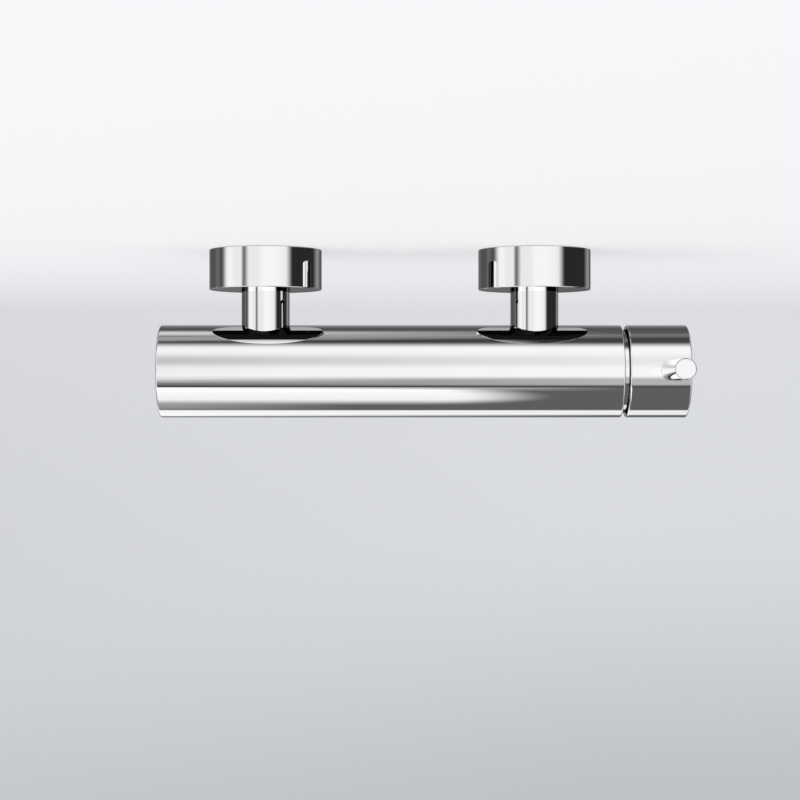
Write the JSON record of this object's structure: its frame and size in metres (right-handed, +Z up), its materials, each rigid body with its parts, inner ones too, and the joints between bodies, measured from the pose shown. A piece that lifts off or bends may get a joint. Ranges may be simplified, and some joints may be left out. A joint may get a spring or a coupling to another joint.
{
  "type": "single-lever shower mixer",
  "caption": "Chromed tubular shower mixer for a wall, on deep round rosettes, with a pin lever that tilts for flow and turns for temperature.",
  "frame": {"origin": "on the wall, midway between the axes of the hot and cold wall threads", "axes": "+X along the tube to the handle end, +Y into the wall, +Z up"},
  "size_m": [0.2928, 0.1084, 0.1168],
  "materials": {
    "chrome_plate": "polished",
    "brass": "turned",
    "cartridge_plastic": "moulded",
    "ceramic": "lapped",
    "steel": "drawn",
    "rubber": "moulded"
  },
  "bodies": {
    "mixer": {"body_tube": "chrome_plate", "end_cap": "chrome_plate", "collar_ring": "chrome_plate", "hot_neck": "chrome_plate", "cold_neck": "chrome_plate", "hot_rosette": "chrome_plate", "cold_rosette": "chrome_plate", "outlet_nipple": "chrome_plate", "valve_manifold": "brass", "cartridge_nut": "brass", "hot_inlet_tail": "brass", "cold_inlet_tail": "brass", "hot_union_nut": "brass", "cold_union_nut": "brass", "hot_wall_union": "brass", "cold_wall_union": "brass", "cartridge_housing": "cartridge_plastic", "cartridge_base": "cartridge_plastic", "check_cage": "cartridge_plastic", "check_seat": "cartridge_plastic", "fixed_disc": "ceramic", "check_spring": "steel", "end_cap_o_ring": "rubber", "base_seals": "rubber", "outlet_o_ring": "rubber", "hot_tail_o_ring": "rubber", "cold_tail_o_ring": "rubber", "hot_rosette_o_ring": "rubber", "cold_rosette_o_ring": "rubber", "hot_inlet_gasket": "rubber", "cold_inlet_gasket": "rubber"},
    "turret": {"turret": "cartridge_plastic", "pivot_pin": "steel"},
    "lever": {"lever_stem": "steel", "handle_hub": "brass", "handle_cap": "chrome_plate", "lever_pin": "chrome_plate", "grub_screw": "steel"},
    "disc_slide": {"disc_carrier": "cartridge_plastic", "moving_disc": "ceramic"},
    "check_poppet": {"check_poppet": "cartridge_plastic"}
  },
  "joints": [
    {"name": "temp_turn", "type": "hinge", "parent": "mixer", "child": "turret", "pos_m": [0.107, -0.0676, 0.008], "axis": [1, 0, 0], "range_deg": [-50, 50]},
    {"name": "flow_tilt", "type": "hinge", "parent": "turret", "child": "lever", "pos_m": [0.107, -0.0676, 0.008], "axis": [0, 1, 0], "range_deg": [0, 20]},
    {"name": "disc_slide", "type": "slide", "parent": "turret", "child": "disc_slide", "axis": [0, 0, 1], "range_m": [0, 0.0025]},
    {"name": "check_lift", "type": "slide", "parent": "mixer", "child": "check_poppet", "axis": [0, 0, -1], "range_m": [0, 0.0025], "stiffness_N_per_m": 120, "springref_m": -0.001, "deforming": ["check_spring"]}
  ],
  "couplings": [
    {"joint": "disc_slide", "follows": "flow_tilt", "m_per_rad": 0.007}
  ]
}
